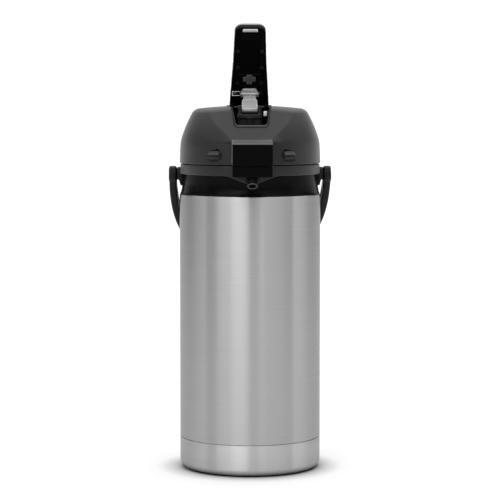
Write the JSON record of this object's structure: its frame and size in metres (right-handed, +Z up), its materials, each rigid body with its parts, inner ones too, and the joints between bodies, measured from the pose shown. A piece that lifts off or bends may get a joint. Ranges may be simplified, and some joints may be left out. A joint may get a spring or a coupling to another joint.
{
  "type": "thermal coffee airpot",
  "caption": "Tall round vacuum airpot with a steel body, dark lid, raised pump lever, front pouring spout and a swinging bail handle.",
  "frame": {"origin": "centre of the base pad's underside, on the vessel's axis", "axes": "+Z up along the vessel's axis, -Y to the front where the spout is, +X to the right seen from the front"},
  "size_m": [0.1908, 0.2163, 0.521],
  "materials": {
    "brushed_steel": "brushed round the body, satin",
    "inner_steel": "satin",
    "bright_steel": "polished",
    "silver_plastic": "silver, semi-gloss",
    "charcoal_plastic": "fine grain, matte",
    "black_plastic": "satin black",
    "gloss_black": "glossy black",
    "clear_plastic": "milky tube",
    "silicone": "milky white",
    "rubber": "matte black",
    "white_plastic": "white, semi-gloss"
  },
  "bodies": {
    "vessel": {"base_pad": "rubber", "base_cup": "brushed_steel", "outer_shell": "brushed_steel", "shell_bottom": "inner_steel", "inner_liner": "inner_steel", "neck_gasket": "silicone", "neck_ring": "black_plastic", "collar": "charcoal_plastic", "lid_hinge_pin": "bright_steel", "bail_pivot_left": "black_plastic", "bail_pivot_right": "black_plastic", "pour_arm": "black_plastic", "stem_tube": "clear_plastic", "stem_foot": "black_plastic", "nozzle": "gloss_black"},
    "lid": {"lid_shell": "charcoal_plastic", "spout_cover": "gloss_black", "lever_tray": "black_plastic", "lever_hinge_pin": "bright_steel", "lid_pan": "black_plastic", "air_valve_flap": "silicone", "lid_seal": "silicone", "lid_screw_1": "bright_steel", "lid_screw_2": "bright_steel", "lid_screw_3": "bright_steel", "lid_screw_4": "bright_steel", "bellows": "rubber", "return_spring": "bright_steel", "latch_spring_left": "bright_steel", "latch_spring_right": "bright_steel"},
    "lever": {"lever_frame": "gloss_black", "lever_cap": "silver_plastic", "lever_grip_bar": "silver_plastic", "link_pin_upper": "bright_steel", "lever_screw_1": "black_plastic", "lever_screw_2": "black_plastic", "lever_screw_3": "black_plastic", "lever_screw_4": "black_plastic", "lever_screw_5": "black_plastic", "lever_screw_6": "black_plastic"},
    "link": {"link": "silver_plastic", "link_pin_lower": "bright_steel"},
    "plunger": {"plunger": "charcoal_plastic"},
    "lock": {"lever_lock": "white_plastic"},
    "latch_left": {"latch_button_left": "black_plastic"},
    "latch_right": {"latch_button_right": "black_plastic"},
    "bail": {"bail": "black_plastic"}
  },
  "joints": [
    {"name": "lid_hinge", "type": "hinge", "parent": "vessel", "child": "lid", "pos_m": [0, 0.086, 0.358], "axis": [-1, 0, 0], "range_deg": [0, 95]},
    {"name": "lever_hinge", "type": "hinge", "parent": "lid", "child": "lever", "pos_m": [0, 0.0405, 0.423], "axis": [1, 0, 0], "range_deg": [0, 57], "stiffness_Nm_per_rad": 0.6, "springref_deg": -17.19},
    {"name": "link_hinge", "type": "hinge", "parent": "lever", "child": "link", "pos_m": [0, 0.0297, 0.439], "axis": [1, 0, 0], "range_deg": [-35, 0]},
    {"name": "plunger_slide", "type": "slide", "parent": "lid", "child": "plunger", "axis": [0, 0, -1], "range_m": [0, 0.02], "deforming": ["bellows", "return_spring"]},
    {"name": "lock_slide", "type": "slide", "parent": "lid", "child": "lock", "axis": [0, -1, 0], "range_m": [0, 0.006]},
    {"name": "latch_left_slide", "type": "slide", "parent": "lid", "child": "latch_left", "axis": [0.5358, 0.8443, 0], "range_m": [0, 0.004], "stiffness_N_per_m": 150, "springref_m": -0.003, "deforming": ["latch_spring_left"]},
    {"name": "latch_right_slide", "type": "slide", "parent": "lid", "child": "latch_right", "axis": [-0.5358, 0.8443, 0], "range_m": [0, 0.004], "stiffness_N_per_m": 150, "springref_m": -0.003, "deforming": ["latch_spring_right"]},
    {"name": "bail_swing", "type": "hinge", "parent": "vessel", "child": "bail", "pos_m": [0, 0, 0.346], "axis": [1, 0, 0], "range_deg": [0, 120]}
  ],
  "couplings": [
    {"joint": "link_hinge", "follows": "lever_hinge", "ratio": -0.607},
    {"joint": "plunger_slide", "follows": "lever_hinge", "m_per_rad": 0.01994}
  ]
}
